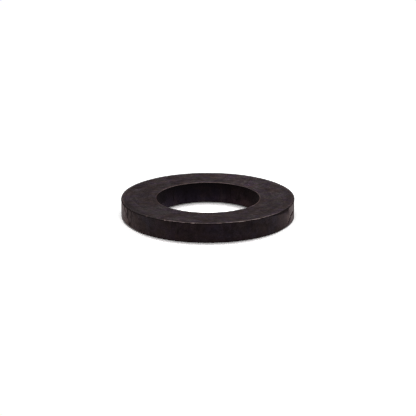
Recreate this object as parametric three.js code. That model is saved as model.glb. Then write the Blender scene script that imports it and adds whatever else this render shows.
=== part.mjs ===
// A thick flat washer, blanked from steel plate in one piece and finished in black oxide.
// Units are millimetres. The bolt's axis is +Z, and the origin is the centre of the bore on the
// underside. The press leaves rounded edges on the underside, where the die pulled the plate in,
// and crisp edges with a small tumbled break on the upper side.
import * as THREE from "three";

// Driving dimensions
const BOLT_DIAMETER = 22;
const BOLT_CLEARANCE = 1; // on the diameter
const RING_WIDTH = 8; // from the bore to the rim
const THICKNESS = 4.5;
const ROLLED_EDGE = 0.3; // radius of the two edges of the underside
const EDGE_BREAK = 0.15; // width and height of the two edges of the upper side

// How finely the round shapes are cut into flats
const ROLL_FLATS = 4;
const TURN_FLATS = 144;

// Worked out from the driving dimensions
const BORE_RADIUS = (BOLT_DIAMETER + BOLT_CLEARANCE) / 2;
const RIM_RADIUS = BORE_RADIUS + RING_WIDTH;

// The ring's section, as x for the radius and y for the height. It runs anticlockwise from the
// bore's side of the underside, and closes on itself.
function ringSection() {
  const section = new THREE.Path();
  section.moveTo(BORE_RADIUS + ROLLED_EDGE, 0);
  section.lineTo(RIM_RADIUS - ROLLED_EDGE, 0);
  section.absarc(
    RIM_RADIUS - ROLLED_EDGE, ROLLED_EDGE, ROLLED_EDGE, -Math.PI / 2, 0, false,
  );
  section.lineTo(RIM_RADIUS, THICKNESS - EDGE_BREAK);
  section.lineTo(RIM_RADIUS - EDGE_BREAK, THICKNESS);
  section.lineTo(BORE_RADIUS + EDGE_BREAK, THICKNESS);
  section.lineTo(BORE_RADIUS, THICKNESS - EDGE_BREAK);
  section.absarc(
    BORE_RADIUS + ROLLED_EDGE, ROLLED_EDGE, ROLLED_EDGE, Math.PI, 1.5 * Math.PI, false,
  );
  return section.getPoints(ROLL_FLATS / 2); // an arc gets two flats for each division asked for
}

// Near-black steel: the oxide layer dulls the metal's shine to a soft sheen.
function blackOxideSteel() {
  return new THREE.MeshStandardMaterial({
    color: 0x352d2f,
    roughness: 0.45,
    metalness: 0.9,
  });
}

function flatWasher() {
  const geometry = new THREE.LatheGeometry(ringSection(), TURN_FLATS);
  const washer = new THREE.Mesh(geometry, blackOxideSteel());
  washer.name = "flat_washer";
  washer.rotation.x = Math.PI / 2; // a lathe turns about Y, and the bolt's axis is Z
  return washer;
}

const object = new THREE.Group();
object.add(flatWasher());

export default object;
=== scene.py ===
"""A thick flat washer, blanked from steel plate and finished in black oxide, on a plain white floor.

The ring is one mesh: a section with its own edges, swept round the bolt's axis, then scored, torn,
peened and chipped the way a press and a tumbling barrel leave it. The tear and the scrapes that are
pressed into the surface also darken its colour, so that colour and shape agree; in the tear that
darkening is painted shade in its hollow.
Units are metres, and millimetres times MM. Angles go round the washer from +X towards +Y in degrees,
so the right tip is at 0, the back at 90, the left tip at 180 and the front at -90.
"""

import math
from types import SimpleNamespace

import bpy
import numpy as np
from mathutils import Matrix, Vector


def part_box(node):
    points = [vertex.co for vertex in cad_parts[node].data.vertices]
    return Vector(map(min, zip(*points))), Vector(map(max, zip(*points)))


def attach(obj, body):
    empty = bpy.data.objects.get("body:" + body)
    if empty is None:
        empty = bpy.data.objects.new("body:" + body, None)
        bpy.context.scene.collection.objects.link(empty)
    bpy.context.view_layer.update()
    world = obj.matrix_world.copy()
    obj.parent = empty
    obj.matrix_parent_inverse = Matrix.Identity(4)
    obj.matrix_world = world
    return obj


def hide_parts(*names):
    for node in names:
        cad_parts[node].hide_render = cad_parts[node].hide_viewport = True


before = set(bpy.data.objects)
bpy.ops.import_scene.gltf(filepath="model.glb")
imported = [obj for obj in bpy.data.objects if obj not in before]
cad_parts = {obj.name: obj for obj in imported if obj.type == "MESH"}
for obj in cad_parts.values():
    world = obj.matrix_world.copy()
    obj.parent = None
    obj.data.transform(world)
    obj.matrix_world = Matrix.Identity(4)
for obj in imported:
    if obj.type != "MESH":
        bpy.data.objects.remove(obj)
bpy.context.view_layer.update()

MM = 0.001
NODE = "flat_washer"

# ---------------------------------------------------------------- sizes, from the frame

low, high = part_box(NODE)
cad_points = np.array([vertex.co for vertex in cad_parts[NODE].data.vertices])
RIM = (high.x - low.x) / 2  # radius
BORE = float(np.hypot(cad_points[:, 0], cad_points[:, 1]).min())  # radius
THICKNESS = high.z - low.z
RING_WIDTH = RIM - BORE

# ---------------------------------------------------------------- how the surface is made

SEED = 22
COLUMNS = 880  # of points round the ring
REGIONS = (  # of the section, in the order they join, and the rows of points that each has
    ("under", 12),  # the underside, from the bore out
    ("under_rim", 5),  # the rim's lower edge
    ("rim", 26),  # the outer wall
    ("upper_rim", 8),  # the rim's upper edge
    ("upper", 34),  # the upper face, from the rim in
    ("upper_bore", 5),  # the bore's upper edge
    ("bore", 18),  # the inner wall
    ("under_bore", 5),  # the bore's lower edge
)
CROWDING = 0.6  # how far rows crowd to the ends of a flat region: 0 is even, and 1 the most
ROUND = 1.0
CHAMFERED = 1.3  # more than round is closer to a flat chamfer

ROLLED_EDGE = 0.28 * MM  # the rim's lower edge, pulled in by the die
EDGE_BREAK = 0.15 * MM  # the upper edges, knocked back by tumbling
BORE_EDGE = 0.05 * MM  # the bore's lower edge, which the punch left sharper
BREAK_LIMITS = (0.06 * MM, 0.40 * MM)
ROLL_LIMITS = (0.15 * MM, 0.75 * MM)

BURR_FLARE = 0.03 * MM  # how far the rim's top stands out past its sheared wall
BURR_FROM, BURR_TO = 0.70, 0.98  # where that starts and is full, as shares of the thickness
BORE_FLARE = 0.07 * MM  # how far the torn top of the bore opens out, on average
BORE_FLARE_LEAST = 0.01 * MM
BORE_ASKEW = 1.1  # how much that changes round the ring, as a share of it
FLARED_TOWARDS = 60  # the angle where it opens out most
BORE_TORN = 0.66  # where the bore's torn top starts, as a share of the thickness
WALL_TORN = 0.62  # where the walls' torn texture starts, as a share of the thickness
TORN_SOFT = 0.05

SCORE_DEPTH = 0.006 * MM  # of the press lines, for each step of their noise
TEARING_DEPTH = 0.012 * MM
WAVE_DEPTH = 0.004 * MM
PEEN_DEPTH = 0.008 * MM
TEAR_DEPTH = 0.20 * MM
SCRAPE_DEPTH = 0.20 * MM

# Noise in layers. Round the ring each layer is its cells and its strength, and over columns and
# rows it is the cells round, the cells along the rows and the strength.
FLARE_NOISE = ((30, 0.2),)
BREAK_NOISE = ((40, 0.25), (150, 0.15))
ROLL_NOISE = ((30, 0.15),)
TORN_FROM_NOISE = ((26, 0.03), (110, 0.015))
SCORED_LINES = ((420, 0.5), (210, 0.5))
SCORED_PATCHES = ((300, 2, 0.8), (90, 1, 0.9))
TORN_BORDER_NOISE = ((26, 0.10), (90, 0.05))
TEARING_NOISE = ((330, 12, 1.0), (150, 7, 0.8))
WAVE_NOISE = ((24, 3, 1.0), (60, 5, 0.5))
PEEN_NOISE = ((300, 30, 1.0),)
RUBBED_NOISE = ((130, 0.35), (330, 0.30))
RUBBED_CHANGES = ((24, 0.14),)
LINE_NOISE = ((60, 0.25),)
RUST_NOISE = ((110, 4, 1.0), (260, 9, 0.5))
STAIN_NOISE = ((200, 2, 1.0), (330, 5, 0.7))
STROKE_NOISE = ((260, 4, 0.35),)
RIM_BLOTCHES = ((75, 3, 0.8), (190, 7, 1.0))
BORE_BLOTCHES = ((34, 3, 1.0), (80, 5, 0.5))
POLISH_NOISE = ((40, 0.04),)

PEENED_RIM, PEENED_BORE = (0.86, 0.93), (0.04, 0.10)  # across the ring, where the borders fade
DENTS = (("upper", 90), ("under", 60))  # how many each face has
DENT_PLACES = (0.05, 0.95)  # across the ring
DENT_SIZES = (0.25, 0.8)  # radius in mm
DENT_DEPTH = 0.035  # as a share of the radius
CHIPS = 90
CHIP_LENGTHS = (0.15, 0.6)  # in mm along the edge
CHIP_REACHES = (0.12, 0.32)  # in mm from the edge
CHIP_DEPTHS = (0.01, 0.05)  # in mm

# ---------------------------------------------------------------- marks that this washer carries

# A patch is its centre and half width, and then its strength where patches differ. A stretch is
# where it starts, where it ends and how softly. All of these are in degrees round the ring.

STEP = -118.6  # where the battered stretch of the rim's upper edge ends

# The shape of the edges
BATTERED = (-142, STEP, 1)  # stretch of the rim's upper edge that is knocked wider
BATTERED_WIDER = 0.07 * MM
LEFT_TIP = (-178, 16)  # patch of it that is wider too
LEFT_TIP_WIDER = 0.14 * MM
ROLL_CHANGES = (  # patches of the rim's lower edge, with how much larger the roll is
    (-158, 40, 0.40 * MM),
    (-20, 40, 0.10 * MM),
    (-85, 30, -0.08 * MM),
)

# The tear, a wedge under the rim's upper edge
TEAR_FROM, TEAR_TO = -45, -21.2
TEAR_STARTS, TEAR_GROWS = 0.20 * MM, 0.95 * MM  # its height at the start, and how much it gains

SCRAPES = (  # straight ones on the rim: both ends as angle and height, then half width and strength
    ((-8.5, 2.2 * MM), (-18, 2.0 * MM), 0.5 * MM, 1.0),
    ((-15.5, 2.0 * MM), (-23, 0.7 * MM), 0.35 * MM, 0.5),
)

# Bare metal
RUBBED = (-140, -33, 2)  # stretch of the rim's upper edge that is rubbed most
RUBBED_LESS = (-90, 18)  # patch of that
RUB_SPOTS = (  # the brightest patches of it
    (-134.5, 1.2, 0.35),
    (-119.2, 1.2, 1.3),
    (-116, 2.0, 0.4),
    (-106, 1.8, 0.4),
    (-100, 1.8, 1.4),
    (-82, 1.5, 0.7),
    (-75, 1.4, 0.6),
    (-67, 3.5, 1.8),
    (-56, 4.0, 0.9),
)
FADED = (-166, STEP, 1)  # stretch of that edge with hardly any bare metal
DULL_TEAR = (-34, TEAR_TO, 2)  # stretch above the tear with less of it
DULL_RIGHT = (0, 40)  # and a patch
LINE_BEHIND, LINE_RIGHT = (62, 150, 6), (-35, 25, 6)  # stretches of the bore's upper edge
BARE_ROLL = (-155, 30)  # patch of the rim's lower edge
RUBBED_BESIDE = (0.30 * MM, 0.60 * MM)  # onto the face, where it starts to fade and is gone
LINE_STARTS = (0.10 * MM, 0.20 * MM)  # from the bore, where the line round it fades in

# Dark lines along the upper edges, which are painted shade
CORNER = (-172, -141, 3)  # stretch of the wall under the left corner
CORNER_ON_FACE = (-170, -141, 4)  # stretch of the face beside it
CORNER_CLEAR = (-174, -142, 3)  # stretch without the plain line on the edge itself
BEATEN = (-141, STEP, 3)  # stretch of the battered edge
OUTLINED_LEFT, OUTLINED_RIGHT = (-216, -170, 4), (-34, 45, 4)  # stretches
BORDER_LEFT, BORDER_RIGHT = (180, 32), (0, 40)  # patches of the face's border
NO_LINE_RIGHT = (-10, 14)  # patch without a line under the upper edges
LESS_LINE_IN_BORE = ((0, 55, 0.6), (180, 50, 0.7))  # patches of the bore's upper edge with less line

# How far these reach from their edge: solid to the first length, and gone at the second
EDGES_BELOW = (0.22 * MM, 0.42 * MM)
OUTLINE_BELOW, OUTLINE_BESIDE = (0.14 * MM, 0.26 * MM), (0.20 * MM, 0.36 * MM)
CORNER_BELOW, CORNER_BESIDE = (0.3 * MM, 0.5 * MM), (0.5 * MM, 1.8 * MM)
BEATEN_BESIDE = (0.5 * MM, 0.9 * MM)

# Stains and rust, painted shade at the bore's ends, and a lighter foot of the rim
RUST_BESIDE = (0.15 * MM, 0.35 * MM)  # from the bore's edge, as above
RUSTY_LEFT = (-160, 40)
STAINED = ((-158, 9, 0.55), (-57, 9, 0.55), (-112, 10, 0.55), (60, 25, 0.55), (150, 20, 0.55))
STROKE_HALF_WIDTH = 2.2
STROKES = (  # single dark strokes up the walls: angle and strength
    (-156.9, 1.5),
    (-60, 0.35),
    (-50.5, 0.4),
    (28, 1.0),
    (133, 1.0),
)
# painted shade at the bore's right and left ends: centre, half width, strength
DARK_IN_BORE = ((12, 24, 0.75), (168, 18, 0.45))
DARK_HIGH_IN_BORE = ((35, 14, 0.5), (151, 13, 0.5))
LIGHTER_FOOT = ((-140, 45, 1.0), (-65, 30, 0.5))

# The oxide itself
# patches of the rim that are smooth and carry a painted sheen
POLISHED_WITH_SHEEN = ((-168, 14, 1.0), (-14, 17, 1.6))  # patches of the rim
BLUISH = ((-50, 28, 1.0), (-82, 14, 1.0), (-138, 14, 1.0), (118, 70, 1.0))  # patches of the walls
EVEN = ((-170, 55, 0.5), (5, 50, 0.40))  # patches of the faces that are less cloudy
BANDED = (75, 60)  # patch with the strongest grinding bands
PALER = (50, 75)
DARKER = ((180, 75, 1.0), (-70, 65, 0.8))

# ---------------------------------------------------------------- places and noise round the ring


def angles():
    return np.arange(COLUMNS) * 2 * np.pi / COLUMNS


def ramp(value, start, end):
    """0 before start, 1 after end, and smooth between."""
    share = np.clip((value - start) / (end - start), 0, 1)
    return share * share * (3 - 2 * share)


def turn_from(degrees):
    """Signed angle in degrees from a place on the ring to each column, the short way round."""
    return (np.degrees(angles()) - degrees + 180) % 360 - 180


def patch(centre, half_width):
    """1 for the columns at the centre, falling softly to 0 at half_width."""
    return 1 - ramp(np.abs(turn_from(centre)), 0, half_width)


def all_patches(patches):
    return sum(strength * patch(centre, half_width) for centre, half_width, strength in patches)


def stretch_of_ring(start, end, soft):
    """1 for the columns between two angles, with soft ends."""
    middle, half = (start + end) / 2, (end - start) / 2
    return 1 - ramp(np.abs(turn_from(middle)), half - soft, half + soft)


def ring_noise(rng, cells):
    """Soft noise from -1 to 1 for each column, with this many cells round the ring."""
    lattice = rng.uniform(-1, 1, cells)
    place = angles() / (2 * np.pi) * cells
    cell = np.floor(place).astype(int)
    share = ramp(place - cell, 0, 1)
    return lattice[cell % cells] * (1 - share) + lattice[(cell + 1) % cells] * share


def sheet_noise(rng, cells_round, cells_along, along):
    """Soft noise from -1 to 1 for each column and row; along runs from 0 to 1 over the rows."""
    lattice = rng.uniform(-1, 1, (cells_round, cells_along + 2))
    place = angles() / (2 * np.pi) * cells_round
    column = np.floor(place).astype(int)
    across = ramp(place - column, 0, 1)[:, None]
    height = np.clip(along, 0, 1) * cells_along
    row = np.floor(height).astype(int)
    up = ramp(height - row, 0, 1)[None, :]
    near, far = lattice[column % cells_round], lattice[(column + 1) % cells_round]
    below = near[:, row] * (1 - across) + far[:, row] * across
    above = near[:, row + 1] * (1 - across) + far[:, row + 1] * across
    return below * (1 - up) + above * up


def ring_layers(rng, *layers):
    """Ring noise in layers, each given as its cells round the ring and its strength."""
    return sum(strength * ring_noise(rng, cells) for cells, strength in layers)


def sheet_layers(rng, along, *layers):
    """Sheet noise in layers, each given as its cells round, its cells along and its strength."""
    return sum(
        strength * sheet_noise(rng, cells_round, cells_along, along)
        for cells_round, cells_along, strength in layers
    )


# ---------------------------------------------------------------- the section


class Section:
    """The ring's section at every column: rows of points that run from the underside, up the rim,
    back across the upper face and down the bore. Radius and height are columns by rows, and the
    others have one number for each row."""

    def __init__(self, upper_break, inner_break, roll, rim_pull, bore_flare):
        """For each column: the sizes of the upper edges of rim and bore, the radius of the rim's
        lower edge, how far the sheared wall stands inside the flared top, and the bore's flare."""
        wall = RIM - rim_pull
        bore_top = BORE + bore_flare
        self.bore_top = bore_top[:, None]
        self.radius = []
        self.height = []
        self.out_radius = []  # the surface's outward direction, as radius and height
        self.out_height = []
        self.region = []
        self.share = []  # how far along its region each row lies, from 0 to 1
        flat = {  # where each starts and ends, and the way it faces
            "under": ((BORE + BORE_EDGE, 0), (wall - roll, 0), (0, -1)),
            "rim": ((wall, roll), (RIM, THICKNESS - upper_break), (1, 0)),
            "upper": ((RIM - upper_break, THICKNESS), (bore_top + inner_break, THICKNESS), (0, 1)),
            "bore": ((bore_top, THICKNESS - inner_break), (BORE, BORE_EDGE), (-1, 0)),
        }
        edge = {  # the centre of each, its size, the angle it starts at and its flatness
            "under_rim": (wall - roll, roll, roll, -90, ROUND),
            "upper_rim": (RIM - upper_break, THICKNESS - upper_break, upper_break, 0, CHAMFERED),
            "upper_bore": (bore_top + inner_break, THICKNESS - inner_break, inner_break, 90, CHAMFERED),
            "under_bore": (BORE + BORE_EDGE, BORE_EDGE, BORE_EDGE, 180, ROUND),
        }
        for name, rows in REGIONS:
            for row in range(rows):
                if name in flat:
                    share = row / rows
                    share -= CROWDING * math.sin(2 * math.pi * share) / (2 * math.pi)
                    self.add_flat_row(name, share, *flat[name])
                else:
                    self.add_edge_row(name, row / rows, *edge[name])
        self.radius = np.stack(self.radius, axis=1)
        self.height = np.stack(self.height, axis=1)
        self.out_radius = np.array(self.out_radius)
        self.out_height = np.array(self.out_height)
        self.region = np.array(self.region)
        self.share = np.array(self.share)
        # From 0 at the underside to 1 at the upper side.
        self.up = np.clip(self.height.mean(axis=0) / THICKNESS, 0, 1)

    def add_flat_row(self, name, share, start, end, out):
        radius = start[0] + (end[0] - start[0]) * share
        height = start[1] + (end[1] - start[1]) * share
        self.add_row(name, share, radius, height, out)

    def add_edge_row(self, name, share, centre_radius, centre_height, size, first_angle, flatness):
        """A row of a quarter turn."""
        angle = math.radians(first_angle + 90 * share)
        cosine, sine = math.cos(angle), math.sin(angle)
        radius = centre_radius + size * math.copysign(abs(cosine) ** flatness, cosine)
        height = centre_height + size * math.copysign(abs(sine) ** flatness, sine)
        self.add_row(name, share, radius, height, (cosine, sine))

    def add_row(self, name, share, radius, height, out):
        self.radius.append(radius + np.zeros(COLUMNS))
        self.height.append(height + np.zeros(COLUMNS))
        self.out_radius.append(out[0])
        self.out_height.append(out[1])
        self.region.append(name)
        self.share.append(share)

    def mask(self, *names):
        """1 for the rows in these regions and 0 for the rest, as one row of numbers."""
        return np.isin(self.region, names).astype(float)[None, :]

    def below_top(self):
        return THICKNESS - self.height

    def inside_rim(self):
        return RIM - self.radius

    def from_bore(self):
        return self.radius - self.bore_top

    def near_top(self, solid, gone):
        """1 from the upper side down to solid, fading to 0 at gone; both are lengths."""
        return 1 - ramp(self.below_top(), solid, gone)

    def near_rim(self, solid, gone):
        """1 from the rim in to solid, fading to 0 at gone."""
        return 1 - ramp(self.inside_rim(), solid, gone)

    def near_bore(self, solid, gone):
        """1 from the bore out to solid, fading to 0 at gone."""
        return 1 - ramp(self.from_bore(), solid, gone)


def upper_break_sizes(rng):
    """Size of the rim's upper edge: uneven, and wider where it is battered and at the left tip."""
    size = EDGE_BREAK * (0.85 + ring_layers(rng, *BREAK_NOISE))
    size = size + BATTERED_WIDER * stretch_of_ring(*BATTERED) + LEFT_TIP_WIDER * patch(*LEFT_TIP)
    return np.clip(size, *BREAK_LIMITS)


def inner_break_sizes():
    """Size of the bore's upper edge: a little wider at the back."""
    return EDGE_BREAK * (0.6 + 0.2 * np.sin(angles()))


def roll_sizes(rng):
    """Radius of the rim's lower edge, with most roll on the left of the front."""
    size = ROLLED_EDGE * (1 + ring_layers(rng, *ROLL_NOISE)) + all_patches(ROLL_CHANGES)
    return np.clip(size, *ROLL_LIMITS)


def bore_flares():
    """How far the bore's torn top opens out: the punch went in a little askew."""
    askew = np.cos(np.radians(turn_from(FLARED_TOWARDS)))
    return np.clip(BORE_FLARE * (1 + BORE_ASKEW * askew), BORE_FLARE_LEAST, None)


def pressed_section(rng):
    """The section as the press leaves it: the rim's wall is straight up to its flared top, and the
    bore's up to its torn top."""
    flare = BURR_FLARE * (0.8 + ring_layers(rng, *FLARE_NOISE))
    bore_flare = bore_flares()
    upper_break, roll = upper_break_sizes(rng), roll_sizes(rng)
    section = Section(upper_break, inner_break_sizes(), roll, flare, bore_flare)

    up = section.up[None, :]
    rim_radius = (RIM - flare)[:, None] + flare[:, None] * ramp(up, BURR_FROM, BURR_TO)
    torn_from = (BORE_TORN + ring_layers(rng, *TORN_FROM_NOISE))[:, None]
    opened = np.clip((up - torn_from) / (1 - torn_from), 0, 1)
    bore_radius = BORE + bore_flare[:, None] * opened
    section.radius = np.where(section.mask("rim") > 0, rim_radius, section.radius)
    section.radius = np.where(section.mask("bore") > 0, bore_radius, section.radius)
    return section


# ---------------------------------------------------------------- how the surface is worn


def wall_lift(rng, section, region):
    """Texture of a pressed wall: scoring in the sheared lower part, and tearing above it. Gives its
    height, which is nearly all below 0, and where the wall is torn."""
    up = section.up
    score = ring_layers(rng, *SCORED_LINES)[:, None]
    score = score + sheet_layers(rng, up, *SCORED_PATCHES)
    border = (WALL_TORN + ring_layers(rng, *TORN_BORDER_NOISE))[:, None]
    torn = ramp(up[None, :], border - TORN_SOFT, border + TORN_SOFT)
    tearing = sheet_layers(rng, up, *TEARING_NOISE)
    lift = SCORE_DEPTH * (score - 2) * (1 - 0.6 * torn)
    lift = lift + TEARING_DEPTH * (tearing - 1.8) * torn
    mask = section.mask(region)
    return lift * mask, torn * mask


def face_lift(rng, section, region):
    """Height of a flat face's own texture, at or below 0: faint waves, and a peened border."""
    across = (section.radius - BORE) / RING_WIDTH
    along = across.mean(axis=0)
    waves = sheet_layers(rng, along, *WAVE_NOISE)
    peen = sheet_layers(rng, along, *PEEN_NOISE)
    border = ramp(across, *PEENED_RIM) + 0.6 * (1 - ramp(across, *PEENED_BORE))
    lift = WAVE_DEPTH * (waves - 1.5) + PEEN_DEPTH * (peen - 1) * border
    return lift * section.mask(region)


def dents(rng, section):
    """Small round knocks from the tumbling barrel on both faces, as a positive depth."""
    around = angles()[:, None]
    x, y = section.radius * np.cos(around), section.radius * np.sin(around)
    depth = np.zeros_like(section.radius)
    for region, count in DENTS:
        mask = section.mask(region)
        for _ in range(count):
            turn = rng.uniform(-math.pi, math.pi)
            out = BORE + RING_WIDTH * rng.uniform(*DENT_PLACES)
            size = rng.uniform(*DENT_SIZES) * MM
            away = ((x - out * math.cos(turn)) ** 2 + (y - out * math.sin(turn)) ** 2) / size**2
            bowl = np.clip(1 - away, 0, 1) ** 2
            depth = np.maximum(depth, DENT_DEPTH * size * bowl * mask)
    return depth


def chips(rng, section):
    """Nicks round the rim's upper edge: how deep each point is knocked in, as a positive length."""
    from_corner = np.hypot(section.inside_rim(), section.below_top())
    depth = np.zeros_like(section.radius)
    for _ in range(CHIPS):
        centre = rng.uniform(-180, 180)
        length = rng.uniform(*CHIP_LENGTHS) * MM
        reach = rng.uniform(*CHIP_REACHES) * MM
        deep = rng.uniform(*CHIP_DEPTHS) * MM
        along = np.radians(turn_from(centre))[:, None] * RIM / length
        away = along**2 + (from_corner / reach) ** 2
        depth = np.maximum(depth, deep * np.clip(1 - away, 0, 1) ** 1.5)
    return depth


def tear(section):
    """The tear under the rim's upper edge, from 0 to 1: it starts as a hairline and ends blunt."""
    along = (turn_from(TEAR_FROM) / (TEAR_TO - TEAR_FROM))[:, None]
    reach = TEAR_STARTS + TEAR_GROWS * np.clip(along, 0.02, 1)
    strength = (0.5 + 0.5 * along) * ramp(along, 0, 0.15) * (1 - ramp(along, 0.93, 1.0))
    return strength * (1 - ramp(section.below_top() / reach, 0.65, 1.0)) * section.mask("rim")


def scrape(section, start, end, widest):
    """A straight scrape on the rim from start to end, each an angle and a height: 1 along its
    centre line and 0 at its sides. Its half width grows from small ends to widest halfway."""
    around = np.radians(turn_from(start[0]))[:, None] * RIM
    step_round = math.radians(end[0] - start[0]) * RIM
    step_up = end[1] - start[1]
    rise = section.height - start[1]
    share = np.clip((around * step_round + rise * step_up) / (step_round**2 + step_up**2), 0, 1)
    away = np.hypot(around - share * step_round, rise - share * step_up)
    half_width = widest * np.sqrt(np.clip(4 * share * (1 - share), 0.02, 1))
    return (1 - ramp(away / half_width, 0, 1)) * section.mask("rim")


def all_scrapes(section):
    marks = [strength * scrape(section, *place) for *place, strength in SCRAPES]
    return np.maximum.reduce(marks)


# ---------------------------------------------------------------- the mesh


def swept_mesh(radius, height):
    """Quads between neighbouring columns and rows, with the last of each joined to the first."""
    around = angles()[:, None]
    points = np.stack((radius * np.cos(around), radius * np.sin(around), height), axis=-1)
    rows = radius.shape[1]
    column, row = np.meshgrid(np.arange(COLUMNS), np.arange(rows), indexing="ij")
    next_column, next_row = (column + 1) % COLUMNS, (row + 1) % rows
    corners = (
        column * rows + row,
        next_column * rows + row,
        next_column * rows + next_row,
        column * rows + next_row,
    )
    faces = np.stack(corners, axis=-1)
    mesh = bpy.data.meshes.new("washer_ring")
    mesh.from_pydata(points.reshape(-1, 3).tolist(), [], faces.reshape(-1, 4).tolist())
    mesh.shade_smooth()
    return mesh


def washer_mesh():
    """The worn ring, with a layer of numbers for each way that its finish varies."""
    rng = np.random.default_rng(SEED)
    section = pressed_section(rng)
    rim_lift, rim_torn = wall_lift(rng, section, "rim")
    bore_lift, bore_torn = wall_lift(rng, section, "bore")
    lift = rim_lift + bore_lift + face_lift(rng, section, "upper") + face_lift(rng, section, "under")
    lift = lift - dents(rng, section)
    chipped = chips(rng, section) * math.sqrt(0.5)  # as much in as down
    torn_open, scraped = tear(section), all_scrapes(section)
    pressed_in = chipped + TEAR_DEPTH * torn_open + SCRAPE_DEPTH * scraped
    radius = section.radius + lift * section.out_radius - pressed_in
    height = section.height + lift * section.out_height - chipped
    mesh = swept_mesh(radius, height)

    layers = {
        "bare": bare_metal(rng, section),
        # painted shade along the edges and in the tear's hollow, and darker colour along the scrapes
        "dark": np.clip(painted_shade_lines(rng, section) + 0.95 * torn_open + 1.8 * scraped, 0, 1),
        "rust": rust(rng, section),
        "stain_and_bore_shade": stains_and_bore_shade(rng, section),
        "pale": pale(),
        "lighter_foot": lighter_foot(section),
        "polished_with_sheen": polished_with_sheen(rng, section),
        "bluish": bluish(section),
        "torn": rim_torn + bore_torn,
        "wall": section.mask("rim", "bore"),
        "level": section.mask("upper", "under"),
        "mottled": mottled(section),
        "banded": banded(),
        "inside": section.mask("bore", "under_bore"),
    }
    for name, values in layers.items():
        everywhere = np.broadcast_to(values, radius.shape)
        attribute = mesh.attributes.new(name, "FLOAT", "POINT")
        attribute.data.foreach_set("value", everywhere.astype(np.float32).ravel())
    return mesh


# ---------------------------------------------------------------- where the finish varies

# Each of these gives a number for every point, mostly from 0 to 1, which the material reads by name.


def bare_metal(rng, section):
    """Where the oxide is rubbed off: on the rim's upper edge and the face beside it, most of all in
    front, in a line round the bore, and a little on the rim's lower edge."""
    patchy = 0.75 + ring_layers(rng, *RUBBED_NOISE)
    rubbed = stretch_of_ring(*RUBBED) - 0.68 * patch(*RUBBED_LESS)
    dull = stretch_of_ring(*DULL_TEAR) + 0.6 * patch(*DULL_RIGHT)
    strength = 0.28 + ring_layers(rng, *RUBBED_CHANGES) + 0.36 * rubbed
    strength = strength * (1 - 0.9 * stretch_of_ring(*FADED)) * np.clip(1 - 0.8 * dull, 0, 1)
    spots = all_patches(RUB_SPOTS)
    strength = (strength * patchy + 0.6 * spots)[:, None]
    upper_half = section.mask("upper_rim") * ramp(section.share, 0.45, 0.75)[None, :]
    on_face = section.mask("upper") * section.near_rim(*RUBBED_BESIDE)
    at_rim = strength * (0.8 * upper_half + 0.7 * on_face)
    at_rim = at_rim + 0.5 * spots[:, None] * section.mask("upper_rim")
    rolled = (0.10 + 0.25 * patch(*BARE_ROLL))[:, None] * section.mask("under_rim")
    return np.clip(at_rim + line_round_bore(section, patchy) + rolled, 0, 1)


def line_round_bore(section, patchy):
    """A rubbed line on the upper face beside the bore, thinnest at the left and right."""
    strength = 0.04 + 0.34 * stretch_of_ring(*LINE_BEHIND) + 0.22 * stretch_of_ring(*LINE_RIGHT)
    reach = (0.35 + 0.45 * np.abs(np.sin(angles())))[:, None] * MM
    line = ramp(section.from_bore(), *LINE_STARTS)
    line = line * (1 - ramp(section.from_bore() / reach, 0.5, 1.0))
    return (strength * patchy)[:, None] * section.mask("upper") * line


def painted_shade_lines(rng, section):
    """Painted shade in dark lines along the upper edges, and a little on the lower ones, which face
    down.
    """
    uneven = (0.75 + ring_layers(rng, *LINE_NOISE))[:, None]
    walls = 0.5 * section.mask("rim") + 0.8 * section.mask("bore")
    under_edges = walls * section.near_top(*EDGES_BELOW) * (1 - patch(*NO_LINE_RIGHT))[:, None]
    lower_half = section.mask("upper_rim") * (1 - ramp(section.share, 0.40, 0.65)[None, :])
    lower_half = lower_half * (1 - stretch_of_ring(*CORNER_CLEAR))[:, None]
    in_bore = (0.9 - all_patches(LESS_LINE_IN_BORE))[:, None] * section.mask("upper_bore")
    lower_edges = 0.2 * section.mask("under_rim", "under_bore")
    edges = under_edges + 0.8 * lower_half + in_bore + lower_edges
    return np.clip(uneven * (edges + outlines(section) + left_corner(section)), 0, 1)


def outlines(section):
    """Dark lines on both sides of the rim's upper edge, at the left and right tips: painted shade."""
    at_tips = np.clip(stretch_of_ring(*OUTLINED_LEFT) + stretch_of_ring(*OUTLINED_RIGHT), 0, 1)
    on_wall = section.mask("rim", "upper_rim") * section.near_top(*OUTLINE_BELOW)
    borders = np.clip(1.5 * (patch(*BORDER_LEFT) + patch(*BORDER_RIGHT)), 0, 1)
    on_face = section.mask("upper") * section.near_rim(*OUTLINE_BESIDE)
    return at_tips[:, None] * on_wall + borders[:, None] * on_face


def left_corner(section):
    """The dark corner at the left of the front, and the beaten edge that it runs into: painted shade on
    the wider edge there.
    """
    corner, beaten = stretch_of_ring(*CORNER)[:, None], stretch_of_ring(*BEATEN)[:, None]
    on_wall = corner * section.mask("rim", "upper_rim") * section.near_top(*CORNER_BELOW)
    on_face = 1.1 * stretch_of_ring(*CORNER_ON_FACE)[:, None] * section.near_rim(*CORNER_BESIDE)
    beside = 0.6 * beaten * section.near_rim(*BEATEN_BESIDE)
    return on_wall + beaten * section.mask("upper_rim") + (on_face + beside) * section.mask("upper")


def rust(rng, section):
    """A reddish-brown bloom: low on the rim in patches, and round the top of the bore."""
    up = section.up
    low = section.mask("rim", "under_rim") * (1 - ramp(up, 0.15, 0.55))[None, :]
    blotches = ramp(sheet_layers(rng, up, *RUST_NOISE), -0.1, 0.9)
    left = (0.35 + 0.65 * patch(*RUSTY_LEFT))[:, None]
    beside = section.mask("upper") * section.near_bore(*RUST_BESIDE)
    bore_edge = section.mask("upper_bore") + 0.6 * beside
    torn_bore = section.mask("bore") * ramp(up, BORE_TORN, BORE_TORN + 0.08)[None, :]
    return np.clip(low * blotches * left + 0.6 * bore_edge + 0.5 * torn_bore, 0, 1)


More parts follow.
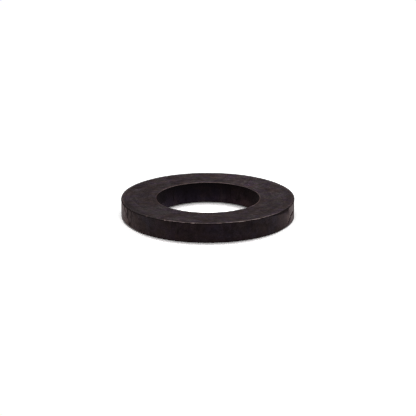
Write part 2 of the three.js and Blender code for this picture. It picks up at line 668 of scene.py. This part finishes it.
def stains_and_bore_shade(rng, section):
    """Dark strokes up and down the walls, strongest in a few places round the ring, and blotches, with
    painted shade at the bore's left and right ends.
    """
    up = section.up
    mottled_walls = ramp(sheet_layers(rng, up, *STAIN_NOISE), 0.1, 1.1)
    mottled_walls = mottled_walls * (0.25 + all_patches(STAINED))[:, None]
    strokes = all_patches((centre, STROKE_HALF_WIDTH, strength) for centre, strength in STROKES)
    strokes = strokes[:, None] * ramp(up + sheet_layers(rng, up, *STROKE_NOISE), 0.25, 0.5)
    on_rim = 0.5 * ramp(sheet_layers(rng, up, *RIM_BLOTCHES), 0.1, 0.9)
    in_bore = 0.6 * ramp(sheet_layers(rng, up, *BORE_BLOTCHES), 0.1, 0.9)
    in_bore = in_bore + all_patches(DARK_IN_BORE)[:, None]
    in_bore = in_bore + all_patches(DARK_HIGH_IN_BORE)[:, None] * ramp(up, 0.25, 0.45)[None, :]
    blotches = on_rim * section.mask("rim") + in_bore * section.mask("bore")
    return np.clip((mottled_walls + strokes) * section.mask("rim", "bore") + blotches, 0, 1)


def polished_with_sheen(rng, section):
    """Where the rim is smooth, with a painted sheen that brightens its colour, below its upper edge."""
    border = 0.95 + ring_layers(rng, *POLISH_NOISE)[:, None]
    below = 1 - ramp(section.up[None, :], border - 0.10, border)
    return all_patches(POLISHED_WITH_SHEEN)[:, None] * below * section.mask("rim", "under_rim")


def bluish(section):
    """Where the oxide on the walls has a blue-grey cast."""
    return np.clip(0.3 + all_patches(BLUISH), 0, 1)[:, None] * section.mask("rim", "bore")


def lighter_foot(section):
    """Where the foot of the rim is mixed towards a lighter grey."""
    low = (1 - ramp(section.up, 0.12, 0.5))[None, :]
    return all_patches(LIGHTER_FOOT)[:, None] * low * section.mask("rim", "under_rim")


def mottled(section):
    """How cloudy the oxide is: less on the faces' left and right ends than elsewhere."""
    return 1 - all_patches(EVEN)[:, None] * section.mask("upper", "under")


def banded():
    """How strongly the broad grinding bands show: most at the back."""
    return (0.5 + 0.5 * patch(*BANDED))[:, None]


def pale():
    """Paler at 1, in a broad patch at the back right, and darker at 0, at the left and at the front."""
    return np.clip(0.5 + 0.5 * (patch(*PALER) - all_patches(DARKER)), 0, 1)[:, None]


# ---------------------------------------------------------------- shader nodes


def empty_tree(owner):
    """The node tree of a material or a world, emptied."""
    owner.use_nodes = True
    owner.node_tree.nodes.clear()
    return owner.node_tree


def add(tree, kind, inputs=None, **settings):
    """A new node with its settings, and inputs by name or number, each a value or a socket."""
    node = tree.nodes.new(kind)
    for name, value in settings.items():
        setattr(node, name, value)
    for name, value in (inputs or {}).items():
        if isinstance(value, bpy.types.NodeSocket):
            tree.links.new(value, node.inputs[name])
        else:
            node.inputs[name].default_value = value
    return node


def calc(tree, operation, *values):
    inputs = dict(enumerate(values))
    return add(tree, "ShaderNodeMath", inputs, operation=operation).outputs[0]


def times(tree, *values):
    product = values[0]
    for value in values[1:]:
        product = calc(tree, "MULTIPLY", product, value)
    return product


def plus(tree, *values):
    total = values[0]
    for value in values[1:]:
        total = calc(tree, "ADD", total, value)
    return total


def stretch(tree, value, old_low, old_high, new_low, new_high):
    """value, taken from one range to another and held inside it."""
    inputs = {0: value, 1: old_low, 2: old_high, 3: new_low, 4: new_high}
    return add(tree, "ShaderNodeMapRange", inputs, clamp=True).outputs[0]


def mix_colours(tree, share, first, second, blend="MIX"):
    """Inputs 6 and 7 and output 2 are the ones for colours."""
    inputs = {0: share, 6: first, 7: second}
    return add(tree, "ShaderNodeMix", inputs, data_type="RGBA", blend_type=blend).outputs[2]


def shade(tree, share, colour, brightness):
    """The colour times a brightness, as far as share says."""
    return mix_colours(tree, share, colour, mix_colours(tree, 1.0, colour, brightness, "MULTIPLY"))


def noise(tree, vector, scale, detail, rough):
    inputs = {"Vector": vector, "Scale": scale, "Detail": detail, "Roughness": rough}
    return add(tree, "ShaderNodeTexNoise", inputs, noise_dimensions="3D").outputs[0]


def layer(tree, name):
    """A layer of the mesh's own numbers."""
    return add(tree, "ShaderNodeAttribute", attribute_name=name).outputs["Fac"]


def ring_marks(tree, place, per_radian, per_metre_out, per_metre_up, detail, rough):
    """Noise that follows the ring, with its cells round it, out along it and up it."""
    x, y, z = add(tree, "ShaderNodeSeparateXYZ", {0: place}).outputs
    radius = calc(tree, "SQRT", plus(tree, times(tree, x, x), times(tree, y, y)))
    cosine = times(tree, calc(tree, "DIVIDE", x, radius), per_radian)
    sine = times(tree, calc(tree, "DIVIDE", y, radius), per_radian)
    along = plus(tree, times(tree, radius, per_metre_out), times(tree, z, per_metre_up))
    vector = add(tree, "ShaderNodeCombineXYZ", {0: cosine, 1: sine, 2: along}).outputs[0]
    return noise(tree, vector, 1.0, detail, rough)


def scratches(tree, place, degrees):
    """Sparse fine lines that run one way across a flat face: 0, and up to 1 along a line."""
    inputs = {"Vector": place, "Angle": math.radians(degrees)}
    turned = add(tree, "ShaderNodeVectorRotate", inputs, rotation_type="Z_AXIS").outputs[0]
    inputs = {0: turned, 1: SCRATCH_CELLS}
    drawn_out = add(tree, "ShaderNodeVectorMath", inputs, operation="MULTIPLY").outputs[0]
    return stretch(tree, noise(tree, drawn_out, 1.0, 2.0, 0.6), 0.62, 0.75, 0.0, 1.0)


def tint(red, green, blue):
    return (red, green, blue, 1.0)


# ---------------------------------------------------------------- black oxide

BROWN = tint(0.0245, 0.0165, 0.0152)
GREY = tint(0.0195, 0.0178, 0.0180)
VIOLET = tint(0.0205, 0.0142, 0.0225)
RUST = tint(0.0340, 0.0155, 0.0110)
# near black, for stains and for painted shade
STAIN_AND_SHADE_BLACK = tint(0.0050, 0.0032, 0.0040)
DEEP_BLUE = tint(0.0068, 0.0062, 0.0112)
DEEP_BROWN = tint(0.0085, 0.0045, 0.0040)
SLATE = tint(0.0165, 0.0170, 0.0290)
BARE_STEEL = tint(0.328, 0.258, 0.240)
FOOT_GREY = tint(0.110, 0.085, 0.085)
OXIDE_IOR = 1.33

# Noise: cells a metre, detail and roughness
CLOUDS = (300.0, 3.0, 0.6)
MOTTLE = (850.0, 3.0, 0.65)
HUES = (480.0, 3.0, 0.6)
SLATE_CLOUDS = (260.0, 3.0, 0.65)
GRAIN = (3600.0, 3.0, 0.6)
SPECKS = (1900.0, 2.0, 0.6)

# Noise that follows the ring: cells a radian, cells a metre out and up, detail and roughness
TURNED = (3.0, 2600.0, 0.0, 4.0, 0.6)
BANDS = (2.0, 520.0, 0.0, 2.0, 0.5)
STREAKS = (60.0, 0.0, 90.0, 4.0, 0.65)

SCRATCH_CELLS = (90, 2600, 90)  # a metre along a scratch, across it and up
SCRATCH_ANGLES = (8, 71)


def oxide_patterns(tree):
    """Every pattern that the oxide's colour, roughness and relief are made from."""
    place = add(tree, "ShaderNodeTexCoord").outputs["Object"]
    wall, inside = layer(tree, "wall"), layer(tree, "inside")
    on_face = calc(tree, "SUBTRACT", 1.0, wall)
    scratched = calc(tree, "MAXIMUM", *(scratches(tree, place, degrees) for degrees in SCRATCH_ANGLES))
    specks = stretch(tree, noise(tree, place, *SPECKS), 0.40, 0.60, 0.45, 1.0)
    return SimpleNamespace(
        wall=wall,
        inside=inside,
        outside=calc(tree, "SUBTRACT", wall, inside),
        on_face=on_face,
        height=add(tree, "ShaderNodeSeparateXYZ", {0: place}).outputs[2],
        clouds=noise(tree, place, *CLOUDS),
        mottle=noise(tree, place, *MOTTLE),
        hues=noise(tree, place, *HUES),
        slate=noise(tree, place, *SLATE_CLOUDS),
        grain=noise(tree, place, *GRAIN),
        turned=ring_marks(tree, place, *TURNED),
        bands=ring_marks(tree, place, *BANDS),
        streaks=ring_marks(tree, place, *STREAKS),
        scratched=times(tree, scratched, on_face),
        bluish=layer(tree, "bluish"),
        polished_with_sheen=layer(tree, "polished_with_sheen"),
        stained_and_shaded=calc(tree, "MAXIMUM", times(tree, layer(tree, "stain_and_bore_shade"), 0.8), layer(tree, "dark")),
        bare=times(tree, layer(tree, "bare"), specks),
    )


def shaded_by(tree, colour, *shades):
    """The colour, lighter and darker by each pattern in turn: how far it counts, the pattern, the
    range of it that matters, and the brightness at each end of that."""
    for share, pattern, *ranges in shades:
        colour = shade(tree, share, colour, stretch(tree, pattern, *ranges))
    return colour


def oxide_colour(tree, at):
    """Brown and grey clouds with violet in them and slate blue on the walls, then the shading of the
    grain and the grinding marks, painted light that makes the outer wall lighter towards its foot, and
    a painted sheen where the rim is smooth; and over it rust, the bore's colour, a lighter foot of the
    rim, stains, painted shade and the bare steel."""
    colour = mix_colours(tree, stretch(tree, at.clouds, 0.38, 0.62, 0, 1), BROWN, GREY)
    colour = mix_colours(tree, stretch(tree, at.hues, 0.47, 0.61, 0, 1), colour, VIOLET)
    colour = shaded_by(tree, colour, (1.0, layer(tree, "pale"), 0, 1, 0.80, 1.20))
    cast = times(tree, at.bluish, stretch(tree, at.slate, 0.42, 0.58, 0.15, 1.0))
    colour = mix_colours(tree, cast, colour, SLATE)
    colour = shaded_by(
        tree,
        colour,
        (1.0, at.clouds, 0.35, 0.65, 0.82, 1.18),
        (layer(tree, "mottled"), at.mottle, 0.30, 0.70, 0.50, 1.50),
        (1.0, at.grain, 0.30, 0.70, 0.55, 1.45),
        (at.on_face, at.turned, 0.35, 0.65, 0.76, 1.26),
        (times(tree, at.on_face, layer(tree, "banded")), at.bands, 0.30, 0.70, 0.50, 1.50),
        (at.wall, at.streaks, 0.35, 0.68, 0.86, 1.10),
        # painted light: the outer wall lighter towards its foot, where the floor lights it, and a
        # little lighter all over
        (at.outside, at.height, 0, 0.45 * THICKNESS, 1.5, 1.08),
        # painted sheen: the smooth patches of the rim brightened
        (1.0, at.polished_with_sheen, 0, 2, 1.0, 1.7),
        (1.0, at.scratched, 0, 1, 1.0, 1.7),
    )
    colour = mix_colours(tree, times(tree, layer(tree, "rust"), 0.75), colour, RUST)
    colour = bore_colour(tree, at, colour)
    lightened = times(tree, layer(tree, "lighter_foot"), stretch(tree, at.mottle, 0.3, 0.7, 0.05, 0.25))
    colour = mix_colours(tree, lightened, colour, FOOT_GREY)
    # stains and painted shade
    colour = mix_colours(tree, times(tree, at.stained_and_shaded, 0.9), colour, STAIN_AND_SHADE_BLACK)
    return mix_colours(tree, at.bare, colour, BARE_STEEL)


def bore_colour(tree, at, colour):
    """Inside the bore the oxide is deep blue and brown, a darker colour that partly stands for painted
    shade in the hollow, and painted light and shade make it lighter at the foot and darker towards the
    top.
    """
    deep_tint = mix_colours(tree, stretch(tree, at.bluish, 0.3, 0.7, 0, 1), DEEP_BROWN, DEEP_BLUE)
    deep = times(tree, at.inside, stretch(tree, at.slate, 0.38, 0.60, 0.45, 0.95))
    colour = mix_colours(tree, deep, colour, deep_tint)
    return shaded_by(
        tree,
        colour,
        # painted light and shade: lighter at the foot of the bore, where the floor lights it, and
        # darker towards its top
        (at.inside, at.height, 0.1 * THICKNESS, THICKNESS, 2.7, 0.35),
        (at.inside, at.height, 0, 0.5 * THICKNESS, 1.5, 1.0),
    )


def oxide_roughness(tree, at):
    """Stains and painted shade are rough on the walls and edges but not on the flat faces, which would
    look paler.
    """
    face = stretch(tree, at.clouds, 0.3, 0.7, 0.34, 0.44)
    torn = times(tree, layer(tree, "torn"), 0.05)
    wall = plus(tree, stretch(tree, at.clouds, 0.3, 0.7, 0.30, 0.38), torn)
    not_level = calc(tree, "SUBTRACT", 1.0, layer(tree, "level"))
    return plus(
        tree,
        times(tree, face, at.on_face),
        times(tree, wall, at.wall),
        times(tree, at.bare, -0.08),
        times(tree, at.polished_with_sheen, -0.08),
        times(tree, at.inside, stretch(tree, at.height, 0.1 * THICKNESS, THICKNESS, -0.02, 0.20)),
        times(tree, at.stained_and_shaded, not_level, 0.40),
        stretch(tree, at.mottle, 0.3, 0.7, -0.05, 0.05),
    )


def oxide_relief(tree, at):
    """Grain and marks that are too fine for the mesh, in millimetres."""
    relief = plus(
        tree,
        times(tree, at.grain, 0.008),
        times(tree, at.mottle, 0.008),
        times(tree, at.turned, at.on_face, 0.006),
        times(tree, at.streaks, at.wall, 0.010),
        times(tree, at.scratched, -0.002),
    )
    inputs = {"Height": relief, "Distance": MM, "Strength": 1.0}
    return add(tree, "ShaderNodeBump", inputs).outputs[0]


def black_oxide():
    material = bpy.data.materials.new("black_oxide_steel")
    tree = empty_tree(material)
    at = oxide_patterns(tree)
    inputs = {
        "Base Color": oxide_colour(tree, at),
        "Roughness": oxide_roughness(tree, at),
        "Metallic": times(tree, at.bare, 0.9),
        "IOR": OXIDE_IOR,
        "Normal": oxide_relief(tree, at),
    }
    surface = add(tree, "ShaderNodeBsdfPrincipled", inputs)
    add(tree, "ShaderNodeOutputMaterial", {"Surface": surface.outputs[0]})
    return material


# ---------------------------------------------------------------- stage

BACKDROP = 1.03  # just over white, so that the backdrop is even
WHITE = tint(1, 1, 1)
SOFT_WARM = (1.0, 0.90, 0.92)  # the lamp's own colour
WARM = (1.0, 0.78, 0.81)  # the colour of the floor and room that the washer mirrors

FLOOR_HALF = 3.0
FLOOR_LEVEL = -0.01 * MM  # just clear of the washer
SIDES_FROM, SIDES_TO = 6 * MM, 17 * MM  # how far left or right counts as a side of the floor
FRONT_FROM, FRONT_TO = 3 * MM, -6 * MM  # where the front of the floor fades in, towards the camera

SHADOW_TO, WHITE_FROM = 3.5 * MM, 6 * MM  # past the rim, where the real shadow gives way to white
SHADOW_LESS = 4.5 * MM  # how much sooner it does at the sides
EXPOSURE = 1.18  # of the floor that the camera sees
# painted light: the floor's exposure raised in front, and more at the front's sides, which pales the
# shadow there
FRONT_EXPOSURE, CORNER_EXPOSURE = 0.22, 0.3  # what is added in front, and in front at the sides
# painted shadow: the floor darkened in a thin ring at the foot of the bore's wall
FOOT_FROM, FOOT_TO = 0.65 * MM, 0.35 * MM  # inside the bore, where the floor darkens near its wall
FOOT_EXPOSURE = 0.20

FELT_GREY = 0.36  # brightness of the floor that the washer mirrors
FELT_IN_BORE = tint(0.24, 0.19, 0.21)
FELT_AT_SIDES = tint(0.36, 0.31, 0.295)

LAMP_AT = (0.06, 0.22, 0.6)
LAMP_WIDTH, LAMP_DEPTH = 1.44, 0.84
LAMP_RADIANCE = 2.3  # with white at 1
ROOM_GREY = 0.07
SOFT_PIXELS = 1.1  # width of the filter, in pixels

TONES = ((0.04, 0.04), (0.09, 0.088), (0.5, 0.27))  # a brightness, and how it is shown
STRAIGHT_TONES = 2  # how many points at the dark end are joined without a bend

ELEVATION = 17.17  # degrees that the camera looks down by
LENS, SENSOR = 300.0, 36.0
PICTURE_WIDTH = 2.408  # in washers' diameters
AIM_RIGHT, AIM_UP = 0.045 * MM, 0.455  # the second as a share of the thickness
SEES_TO = 20.0


def warm_grey(brightness):
    return tint(*(brightness * part for part in WARM))


def new_object(name, data):
    obj = bpy.data.objects.new(name, data)
    bpy.context.scene.collection.objects.link(obj)
    return obj


def seen_or_felt(tree, seen, felt):
    """One shader for the camera, and another for the light that falls on the washer."""
    camera_ray = add(tree, "ShaderNodeLightPath").outputs["Is Camera Ray"]
    inputs = {0: camera_ray, 1: felt.outputs[0], 2: seen.outputs[0]}
    return add(tree, "ShaderNodeMixShader", inputs).outputs[0]


def floor_places(tree):
    """How far each point of the floor is from the washer's middle, and from it to either side."""
    place = add(tree, "ShaderNodeTexCoord").outputs["Object"]
    across, along, _ = add(tree, "ShaderNodeSeparateXYZ", {0: place}).outputs
    sideways = calc(tree, "ABSOLUTE", across)
    return SimpleNamespace(
        distance=add(tree, "ShaderNodeVectorMath", {0: place}, operation="LENGTH").outputs["Value"],
        sideways=sideways,
        to_the_sides=stretch(tree, sideways, SIDES_FROM, SIDES_TO, 0.0, 1.0),
        in_front=stretch(tree, along, FRONT_TO, FRONT_FROM, 1.0, 0.0),
    )


def seen_floor(tree, at):
    """A white floor with the washer's real soft shadow, which gives way to an even white. In front, and
    most at the front's sides, its exposure is raised, painted light that pales the shadow; just inside
    the bore it is lowered, a painted shadow at the foot of the wall.
    """
    added = plus(tree, FRONT_EXPOSURE, times(tree, at.to_the_sides, CORNER_EXPOSURE))
    open_floor = plus(tree, EXPOSURE, times(tree, at.in_front, added))
    foot = stretch(tree, at.distance, BORE - FOOT_FROM, BORE - FOOT_TO, 1.0, FOOT_EXPOSURE)
    past_the_foot = stretch(tree, at.distance, BORE, RIM, 0, 1)
    exposure = times(tree, open_floor, calc(tree, "MAXIMUM", foot, past_the_foot))
    neutral = tuple(1 / part for part in SOFT_WARM)
    exposed = add(tree, "ShaderNodeVectorMath", {0: neutral, 3: exposure}, operation="SCALE").outputs[0]
    shadowed = add(tree, "ShaderNodeBsdfDiffuse", {"Color": exposed})
    even = add(tree, "ShaderNodeEmission", {"Color": WHITE, "Strength": BACKDROP})
    reach = plus(tree, at.distance, times(tree, at.to_the_sides, SHADOW_LESS))
    far = stretch(tree, reach, RIM + SHADOW_TO, RIM + WHITE_FROM, 0.0, 1.0)
    return add(tree, "ShaderNodeMixShader", {0: far, 1: shadowed.outputs[0], 2: even.outputs[0]})


def felt_floor(tree, at):
    """A darker, warmer floor, palest at the foot of the walls."""
    in_the_bore = stretch(tree, at.distance, 0.2 * BORE, BORE, 0.28, 1.2)
    at_the_sides = stretch(tree, at.sideways, 0.7 * RIM, 1.1 * RIM, 1.0, 1.2)
    at_the_foot = stretch(tree, at.distance, RIM, RIM + 3 * MM, 1.4, 1.0)
    paleness = times(tree, in_the_bore, at_the_sides, at_the_foot)
    in_shade = stretch(tree, at.distance, 0.95 * BORE, 1.05 * BORE, 1.0, 0.0)
    colour = mix_colours(tree, in_shade, warm_grey(FELT_GREY), FELT_IN_BORE)
    colour = mix_colours(tree, at.to_the_sides, colour, FELT_AT_SIDES)
    return add(tree, "ShaderNodeBsdfDiffuse", {"Color": shade(tree, 1.0, colour, paleness)})


def floor():
    """A plain white floor to the camera, and a darker one to the washer, as if the picture's
    background had been whitened."""
    corners = ((-1, -1), (1, -1), (1, 1), (-1, 1))
    mesh = bpy.data.meshes.new("floor")
    points = [(FLOOR_HALF * x, FLOOR_HALF * y, FLOOR_LEVEL) for x, y in corners]
    mesh.from_pydata(points, [], [(0, 1, 2, 3)])
    material = bpy.data.materials.new("white_floor")
    tree = empty_tree(material)
    at = floor_places(tree)
    surface = seen_or_felt(tree, seen_floor(tree, at), felt_floor(tree, at))
    add(tree, "ShaderNodeOutputMaterial", {"Surface": surface})
    mesh.materials.append(material)
    new_object("floor", mesh)


def softbox():
    """A rectangular light that faces straight down, overhead and slightly behind the washer."""
    light = bpy.data.lights.new("softbox_overhead", "AREA")
    light.shape = "RECTANGLE"
    light.size = LAMP_WIDTH
    light.size_y = LAMP_DEPTH
    light.energy = LAMP_RADIANCE * math.pi * LAMP_WIDTH * LAMP_DEPTH
    light.color = SOFT_WARM
    lamp = new_object("softbox_overhead", light)
    lamp.location = LAMP_AT
    lamp.visible_camera = False


def room():
    """White to the camera, and a dim warm room to the washer."""
    world = bpy.data.worlds.new("studio")
    tree = empty_tree(world)
    dim = add(tree, "ShaderNodeBackground", {"Color": warm_grey(ROOM_GREY)})
    backdrop = add(tree, "ShaderNodeBackground", {"Color": WHITE, "Strength": BACKDROP})
    add(tree, "ShaderNodeOutputWorld", {"Surface": seen_or_felt(tree, backdrop, dim)})
    bpy.context.scene.world = world


def film():
    """A camera's contrast: black and dark greys stay, and the middle greys come out darker."""
    bpy.context.scene.cycles.filter_width = SOFT_PIXELS
    settings = bpy.context.scene.view_settings
    settings.view_transform = "Standard"
    settings.use_curve_mapping = True
    combined = settings.curve_mapping.curves[3]
    for brightness, shown in TONES:
        combined.points.new(brightness, shown)
    for point in combined.points[:STRAIGHT_TONES]:
        point.handle_type = "VECTOR"
    settings.curve_mapping.update()


def camera():
    """A long lens, low in front of the washer, aimed at its middle."""
    elevation = math.radians(ELEVATION)
    distance = PICTURE_WIDTH * 2 * RIM * LENS / SENSOR
    data = bpy.data.cameras.new("camera")
    data.lens, data.sensor_width = LENS, SENSOR
    data.clip_end = SEES_TO
    eye = new_object("camera", data)
    back = Vector((0, -math.cos(elevation), math.sin(elevation)))
    target = Vector((AIM_RIGHT, 0, AIM_UP * THICKNESS))
    eye.location = target + back * distance
    eye.rotation_mode = "QUATERNION"
    eye.rotation_quaternion = back.to_track_quat("Z", "Y")
    bpy.context.scene.camera = eye


# ---------------------------------------------------------------- the scene

washer = new_object("washer_ring", washer_mesh())
washer.data.materials.append(black_oxide())
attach(washer, "root")
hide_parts(NODE)

floor()
softbox()
room()
film()
camera()
